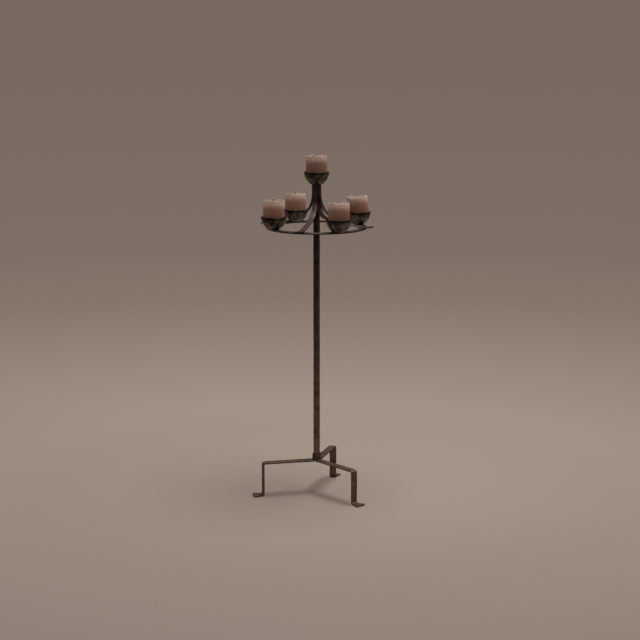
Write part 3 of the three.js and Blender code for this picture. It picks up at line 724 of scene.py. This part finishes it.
def bowlLine():
    # the outside from the middle of the base up to the lip, and the inside back down
    steps, lip, height = 24, bowl["wall"] / 2, bowl["height"]
    outside = [(bowlRadius((height - lip) * i / steps, 0), 0, (height - lip) * i / steps) for i in range(steps + 1)]
    inside = [(bowlRadius(z, bowl["wall"]), 0, z) for z in
              (bowl["wall"] + (height - lip - bowl["wall"]) * i / steps for i in range(steps, -1, -1))]
    middle = (outside[-1][0] + inside[0][0]) / 2
    outside += arcPoints((middle, height - lip), lip, 30, 90, 2)
    inside = arcPoints((middle, height - lip), lip, 120, 150, 1) + inside
    return [(0, 0, 0)] + outside, inside + [(0, 0, bowl["wall"])]


def lineLength(points):
    return sum(math.dist(a, b) for a, b in zip(points, points[1:]))


outside, inside = bowlLine()
bowlShape = {"Sides": bowl["sides"], "Steps": bowl["steps"], "Height": bowl["height"] * mm,
             "Inside From": lineLength(outside) / lineLength(outside + inside), "Dimple Size": bowl["dimpleSize"] * mm,
             "Dimple Depth": bowl["dimpleDepth"] * mm, "Rim Wave": bowl["rimWave"] * mm, "Material": sheet}
for seed, name in enumerate(holders):
    mesh = grown(f"bowl_sheet_{name}", pathObject("bowlLine", outside + inside), turnedTree,
                 {**bowlShape, "Seed": 0.37 * seed})
    mesh.transform(placed(*holders[name]))
    asPiece(f"bowl_sheet_{name}", mesh, "stand", "hammered_iron", f"bowl_{name}")
print("bowls made")


# prickets: a tapered spike on a small round foot
pricket = {"seat": 1.9, "footRadius": 7, "footHeight": 2, "radius": 3, "tipRadius": 0.6, "length": 36, "soften": 0.5,
           "dimpleSize": 6, "dimpleDepth": 0.06}


def pricketLine():
    seat, shoulder, top = pricket["seat"], pricket["seat"] + pricket["footHeight"], pricket["seat"] + pricket["length"]
    soft, foot = pricket["soften"], pricket["footRadius"]
    return [(0, 0, seat), (foot - soft, 0, seat), (foot, 0, seat + soft), (foot, 0, shoulder - soft),
            (foot - soft, 0, shoulder), (pricket["radius"] + 1, 0, shoulder), (pricket["radius"] - 0.1, 0, shoulder + 1),
            (pricket["tipRadius"] + 0.2, 0, top - 1), (pricket["tipRadius"] / 2, 0, top), (0, 0, top)]


for seed, name in enumerate(holders):
    mesh = grown(f"pricket_spike_{name}", pathObject("pricketLine", pricketLine()), turnedTree, {
        "Sides": 36, "Steps": 90, "Height": pricket["length"] * mm, "Inside From": 1.0,
        "Dimple Size": pricket["dimpleSize"] * mm, "Dimple Depth": pricket["dimpleDepth"] * mm,
        "Rim Wave": 0.0, "Seed": 0.21 * seed, "Material": spikeSteel})
    mesh.transform(placed(*holders[name]))
    asPiece(f"pricket_spike_{name}", mesh, "stand", "spike_iron", f"pricket_{name}")
print("prickets made")


# candles: squat pillars pushed down on the spikes, with softened tops round a shallow pool
candle = {"radius": 29.7, "height": 63, "edge": 1.6, "shoulder": 3.2, "pool": 2.5, "wickRadius": 1.1, "wickRoot": 6,
          "wickGap": 0.1, "gap": 0.3, "leaning": "back_right", "lean": 7, "sides": 96, "steps": 130, "waveSize": 30, "waveDepth": 0.25,
          "topWave": 0.3}


def candleSeat(lean):
    # the low and the high side of the bottom edge both meet the bowl's wall
    across = candle["radius"] * math.cos(lean) + candle["gap"]
    tilt = candle["radius"] * math.sin(lean)
    low, height = bowl["wall"], bowl["height"]
    while height - low > 0.001:
        middle = (low + height) / 2
        if bowlRadius(middle - tilt, bowl["wall"]) + bowlRadius(middle + tilt, bowl["wall"]) < 2 * across:
            low = middle
        else:
            height = middle
    return height, (bowlRadius(height + tilt, bowl["wall"]) - bowlRadius(height - tilt, bowl["wall"])) / 2


def candleLine():
    radius, height, edge, shoulder = candle["radius"], candle["height"], candle["edge"], candle["shoulder"]
    line = [(0, 0, 0)] + arcPoints((radius - edge, edge), edge, -90, 0, 5)
    line += arcPoints((radius - shoulder, height - shoulder), shoulder, 0, 90, 8)
    hole, pool = candle["wickRadius"] + candle["wickGap"], radius - shoulder
    for i in range(1, 13):
        r = pool + (hole - pool) * i / 12
        line.append((r, 0, height - candle["pool"] * (1 - (r / pool) ** 2)))
    bottom = height - candle["pool"] - candle["wickRoot"] - candle["gap"]
    return line, [(hole, 0, bottom), (0, 0, bottom)]


def coneObject(name, bottomRadius, topRadius, bottom, top):
    mesh = bpy.data.meshes.new(name)
    shape = bmesh.new()
    bmesh.ops.create_cone(shape, cap_ends=True, segments=24, radius1=bottomRadius * mm, radius2=topRadius * mm,
                          depth=(top - bottom) * mm, matrix=Matrix.Translation((0, 0, (top + bottom) / 2 * mm)))
    shape.to_mesh(mesh)
    shape.free()
    return tempObject(name, mesh)


def makeCandle(name, seed):
    lean = math.radians(candle["lean"]) if name == candle["leaning"] else 0.0
    height, shift = candleSeat(lean)
    seat = Matrix.Translation((shift * mm, 0, height * mm)) @ Matrix.Rotation(-lean, 4, "Y")
    flank, hole = candleLine()
    mesh = grown(f"candle_wax_{name}", pathObject("candleLine", flank + hole), turnedTree, {
        "Sides": candle["sides"], "Steps": candle["steps"], "Height": candle["height"] * mm,
        "Inside From": lineLength(flank) / lineLength(flank + hole), "Dimple Size": candle["waveSize"] * mm,
        "Dimple Depth": candle["waveDepth"] * mm, "Rim Wave": candle["topWave"] * mm,
        "Seed": 1.7 + 0.53 * seed, "Material": wax})
    mesh.transform(seat)
    shoulder, tip = pricket["seat"] + pricket["footHeight"], pricket["seat"] + pricket["length"]
    drill = coneObject("drill", pricket["radius"] + candle["gap"], pricket["tipRadius"] + candle["gap"],
                       shoulder, tip + candle["gap"])
    mesh = worked(mesh, [("BOOLEAN", {"operation": "DIFFERENCE", "object": drill, "solver": "EXACT"})])
    mesh.transform(placed(*holders[name]))
    asPiece(f"candle_wax_{name}", mesh, f"candle_{name}_body", "wax", f"candle_{name}")
    return seat


wick = {"length": 4.2, "bend": 1.2, "strands": 3, "turns": 2.2, "strandRadius": 0.56, "twistRadius": 0.5}


def makeWick(name, seat):
    surface = candle["height"] - candle["pool"]
    points = [(0, 0, surface - candle["wickRoot"] + 0.2), (0, 0, surface)]
    points += curvePoints([(0, surface), (0, surface + wick["length"] / 2),
                           (wick["bend"], surface + wick["length"] - 0.4)], 8)
    mesh = grown(f"wick_cotton_{name}", pathObject("wickLine", points), wickTree, {
        "Strands": wick["strands"], "Turns": wick["turns"], "Strand Radius": wick["strandRadius"] * mm,
        "Twist Radius": wick["twistRadius"] * mm, "Material": cotton})
    mesh.transform(placed(*holders[name]) @ seat)
    asPiece(f"wick_cotton_{name}", mesh, f"candle_{name}_body", "wick", f"wick_{name}")


for seed, name in enumerate(holders):
    makeWick(name, makeCandle(name, seed))
print("candles made")


# welds: short beads along the seams, each built up of small ripples
bead = {"spacing": 1.3, "radius": 1.2}


def makeBeads(name, seams, place, seed, closed=False):
    mesh = grown(name, pathObject("seam", *seams, closed=closed), beadTree, {
        "Ripple Spacing": bead["spacing"] * mm, "Bead Radius": bead["radius"] * mm, "Seed": seed, "Material": weld})
    mesh.transform(place)
    asPiece(name, mesh, "stand", "forged_iron")


def levelSquare(side, height):
    return [(x, y, height) for x, y in square(side)]


makeBeads("collar_welds", [levelSquare(collar["side"] + 0.8, leg["top"] + 0.2), levelSquare(16.4, collar["top"] + 0.2)],
          placed(0), 1, closed=True)
for seed, (side, turn) in enumerate(arm["turns"].items()):
    edge, onTop = arm["width"] / 2 + 0.2, ring["top"] + 0.5
    notch = column["side"] / 2 + 1.4
    makeBeads(f"arm_welds_{side}", [
        [(ringMiddle - 6, edge, onTop), (ringMiddle + 6, edge, onTop)],
        [(ringMiddle - 6, -edge, onTop), (ringMiddle + 6, -edge, onTop)],
        [(notch, notch, column["top"] - arm["weldLength"] + 2), (notch, notch, column["top"] - 1)],
        [(12.2, -6, column["top"] - 0.4), (12.2, 6, column["top"] - 0.4)]], placed(turn), 10 + seed)
for seed, name in enumerate(list(holders)[1:]):
    footSide = [(18.7 * math.cos(math.radians(a)), 18.7 * math.sin(math.radians(a)), 0.2) for a in range(70, 111, 8)]
    makeBeads(f"bowl_welds_{name}", [footSide, [(x, -y, z) for x, y, z in footSide]], placed(*holders[name]), 20 + seed)
print("welds made")


# floor and wall in one sweep that runs all round the stand
sweep = {"floorRadius": 4.6, "bendRadius": 1.3, "wallTop": 4.2, "floorColour": "#a4978e", "sides": 96,
         "dimFrom": -0.7, "dimTo": -2.3, "nearShade": 0.8, "paintFrom": 0.32, "paintTo": 1.1,
         "tones": [(0.0, "#a29287"), (0.2, "#928176"), (0.35, "#87766b"), (0.6, "#7f7067"), (1.0, "#776961")]}


def makeSweep():
    floorRadius, bend = sweep["floorRadius"], sweep["bendRadius"]
    line = [(0, 0), (0.6, 0), (1.4, 0), (2.6, 0), (floorRadius, 0)]
    line += [(floorRadius + bend * math.sin(a), bend - bend * math.cos(a))
             for a in (math.radians(7.5 * i) for i in range(1, 13))]
    line += [(floorRadius + bend, sweep["wallTop"])]
    shape = bmesh.new()
    rings = []
    for radius, height in line:
        count = sweep["sides"] if radius else 1
        turns = [2 * math.pi * i / count for i in range(count)]
        rings.append([shape.verts.new((radius * math.cos(a), radius * math.sin(a), height)) for a in turns])
    for inner, outer in zip(rings, rings[1:]):
        for i in range(len(outer)):
            k = (i + 1) % len(outer)
            near = (inner[0],) if len(inner) == 1 else (inner[k], inner[i])
            shape.faces.new((outer[i], outer[k], *near)).smooth = True
    mesh = bpy.data.meshes.new("sweep")
    shape.to_mesh(mesh)
    shape.free()
    return tempObject("sweep", mesh)


# matt sweep of stretched canvas: takes the stand's shadow close by; beyond it, for camera rays, it glows with painted
# tones that darken with distance and up the wall
def sweepCanvas():
    material, tree, shader, where = newMaterial("sweepCanvas")
    level = addNode(tree, "ShaderNodeVectorMath", {"operation": "MULTIPLY"}, in0=where, in1=(1.0, 1.0, 0.0))
    radius = addNode(tree, "ShaderNodeVectorMath", {"operation": "LENGTH"}, in0=level).outputs["Value"]
    shader.inputs["Roughness"].default_value = 0.95
    shader.inputs["Specular IOR Level"].default_value = 0.1
    parts = addNode(tree, "ShaderNodeSeparateXYZ", in0=where).outputs
    run = addNode(tree, "ShaderNodeMath", {"operation": "ADD"}, in0=radius, in1=parts[2])
    share = addNode(tree, "ShaderNodeMapRange", Value=run, FromMin=1.0, FromMax=7.2)
    tone = addNode(tree, "ShaderNodeValToRGB", {"stops": sweep["tones"]}, in0=share)
    # painted shade: the sweep is painted a little darker towards the front
    shade = addNode(tree, "ShaderNodeMapRange", Value=parts[1], FromMin=-1.2, FromMax=0.9, ToMin=sweep["nearShade"])
    tone = addNode(tree, "ShaderNodeVectorMath", {"operation": "SCALE"}, in0=tone, in3=shade)
    cloth = addNode(tree, "ShaderNodeVectorMath", {"operation": "SCALE"}, in3=shade,
                    in0=linearColour(sweep["floorColour"])[:3])
    tree.links.new(cloth.outputs[0], shader.inputs["Base Color"])
    # painted reflection: for mirror rays the sweep glows as a lit floor and wall behind the stand, dimming to a dark
    # room in front
    rays = addNode(tree, "ShaderNodeLightPath").outputs
    paintedReflectionGlow = addNode(tree, "ShaderNodeMapRange", Value=parts[1], FromMin=sweep["dimTo"], FromMax=sweep["dimFrom"],
                   ToMin=0.03)
    power = addNode(tree, "ShaderNodeMath", {"operation": "MAXIMUM"}, in0=rays["Is Camera Ray"], in1=paintedReflectionGlow)
    glow = addNode(tree, "ShaderNodeEmission", Color=tone, Strength=power)
    seen = addNode(tree, "ShaderNodeMath", {"operation": "MAXIMUM"}, in0=rays["Is Camera Ray"],
                   in1=rays["Is Glossy Ray"])
    far = addNode(tree, "ShaderNodeMapRange", {"interpolation_type": "SMOOTHSTEP"}, Value=radius,
                  FromMin=sweep["paintFrom"], FromMax=sweep["paintTo"])
    mix = addNode(tree, "ShaderNodeMath", {"operation": "MULTIPLY"}, in0=seen, in1=far)
    both = addNode(tree, "ShaderNodeMixShader", in0=mix, in1=shader, in2=glow)
    tree.links.new(both.outputs[0], tree.nodes["Material Output"].inputs["Surface"])
    return material


sweepObject = makeSweep()
sweepObject.data.materials.append(sweepCanvas())
print("sweep made")


# light: one broad soft lamp overhead, a little to the right, a faint one from the left, and
# a dim even sky
light = {"power": 98, "size": 1.5, "place": (0.42, 0.1, 3.3), "colour": "#fff9f4", "sky": "#e8e4e0",
         "skyStrength": 0.36}
fill = {"power": 8, "size": 2.0, "place": (-2.6, -1.6, 1.7), "colour": "#fffaf6"}
for name, settings in (("softbox", light), ("fill", fill)):
    lampData = bpy.data.lights.new(name, "AREA")
    lampData.energy = settings["power"]
    lampData.shape = "SQUARE"
    lampData.size = settings["size"]
    lampData.color = linearColour(settings["colour"])[:3]
    lamp = tempObject(name, lampData)
    lamp.visible_camera = False
    lamp.location = settings["place"]
    lamp.rotation_euler = (Vector((0, 0, 0.5)) - lamp.location).to_track_quat("-Z", "Y").to_euler()
world = bpy.data.worlds.new("sky")
scene.world = world
world.use_nodes = True
sky = world.node_tree.nodes["Background"]
sky.inputs["Color"].default_value = linearColour(light["sky"])
sky.inputs["Strength"].default_value = light["skyStrength"]
print("light set")
